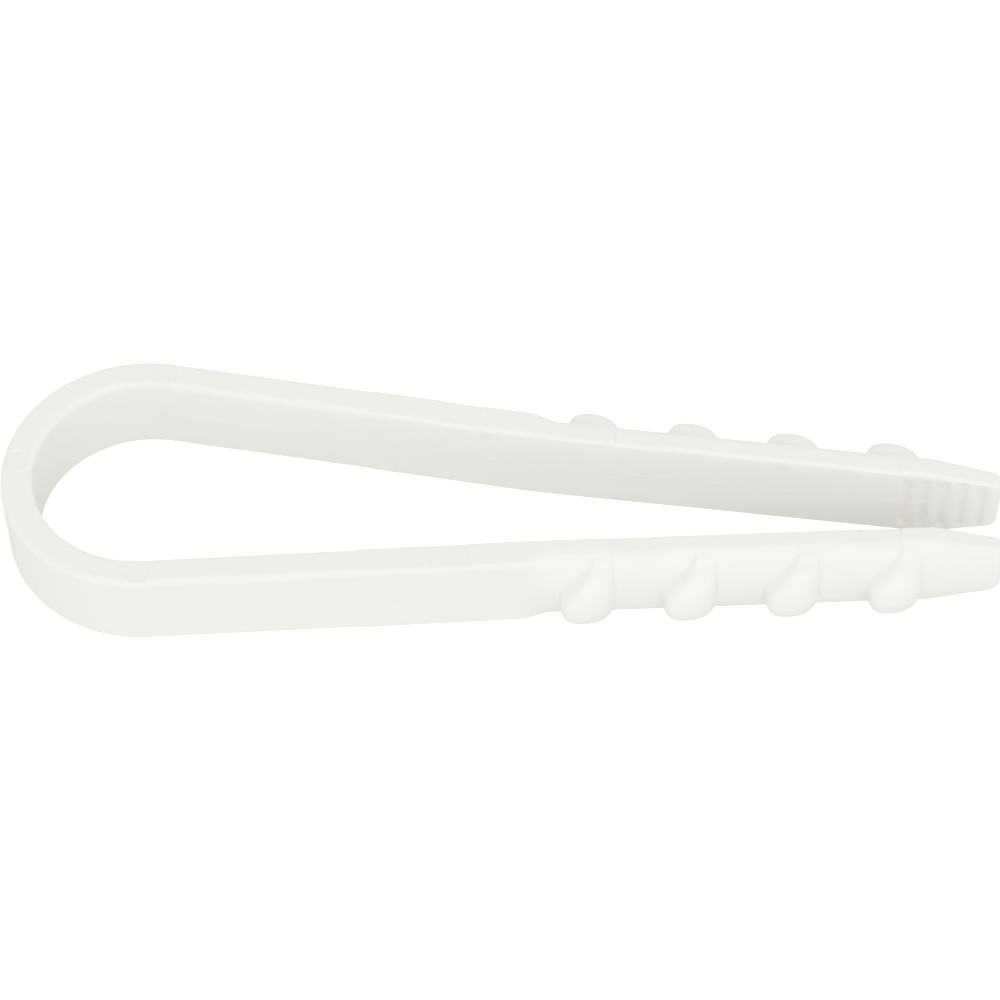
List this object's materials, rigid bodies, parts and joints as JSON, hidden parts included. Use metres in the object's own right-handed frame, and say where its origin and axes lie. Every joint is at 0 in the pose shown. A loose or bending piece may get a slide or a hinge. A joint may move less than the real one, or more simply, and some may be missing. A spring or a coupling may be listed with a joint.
{
  "type": "cable dowel clamp",
  "caption": "White nylon wall anchor: a flat strap bent into a teardrop cable loop, ending in two barbed prongs that press together into one drilled hole.",
  "frame": {"origin": "centre of the cable loop, halfway across the strap", "axes": "+X from the loop to the prong tips, +Y to the left leg, +Z across the strap along the cable's axis"},
  "size_m": [0.0524, 0.0148, 0.005],
  "materials": {
    "nylon": "satin moulded natural nylon, slightly translucent"
  },
  "bodies": {
    "crown": {"crown": "nylon"},
    "left_bow": {"left_bow": "nylon"},
    "left_strap": {"left_strap": "nylon"},
    "left_prong": {"left_prong": "nylon", "left_nose": "nylon", "left_barb_1": "nylon", "left_barb_2": "nylon", "left_barb_3": "nylon", "left_barb_4": "nylon"},
    "right_bow": {"right_bow": "nylon"},
    "right_strap": {"right_strap": "nylon"},
    "right_prong": {"right_prong": "nylon", "right_nose": "nylon", "right_barb_1": "nylon", "right_barb_2": "nylon", "right_barb_3": "nylon", "right_barb_4": "nylon"}
  },
  "joints": [
    {"name": "left_crown_flex", "type": "hinge", "parent": "crown", "child": "left_bow", "pos_m": [-0.00615, 0.00224, 0], "axis": [0, 0, 1], "range_deg": [0, 10], "stiffness_Nm_per_rad": 0.05},
    {"name": "left_shoulder_flex", "type": "hinge", "parent": "left_bow", "child": "left_strap", "pos_m": [0.00235, 0.00631, 0], "axis": [0, 0, -1], "range_deg": [0, 10.2], "stiffness_Nm_per_rad": 0.05},
    {"name": "left_knee_flex", "type": "hinge", "parent": "left_strap", "child": "left_prong", "pos_m": [0.02063, 0.00415, 0], "axis": [0, 0, -1], "range_deg": [-14.3, 0]},
    {"name": "right_crown_flex", "type": "hinge", "parent": "crown", "child": "right_bow", "pos_m": [-0.00615, -0.00224, 0], "axis": [0, 0, -1], "range_deg": [0, 10], "stiffness_Nm_per_rad": 0.05},
    {"name": "right_shoulder_flex", "type": "hinge", "parent": "right_bow", "child": "right_strap", "pos_m": [0.00235, -0.00631, 0], "axis": [0, 0, 1], "range_deg": [0, 10.2], "stiffness_Nm_per_rad": 0.05},
    {"name": "right_knee_flex", "type": "hinge", "parent": "right_strap", "child": "right_prong", "pos_m": [0.02063, -0.00415, 0], "axis": [0, 0, 1], "range_deg": [-16, 0]}
  ],
  "couplings": [
    {"joint": "left_knee_flex", "follows": "left_shoulder_flex", "ratio": -1.3906},
    {"joint": "right_knee_flex", "follows": "right_shoulder_flex", "ratio": -1.5517}
  ]
}
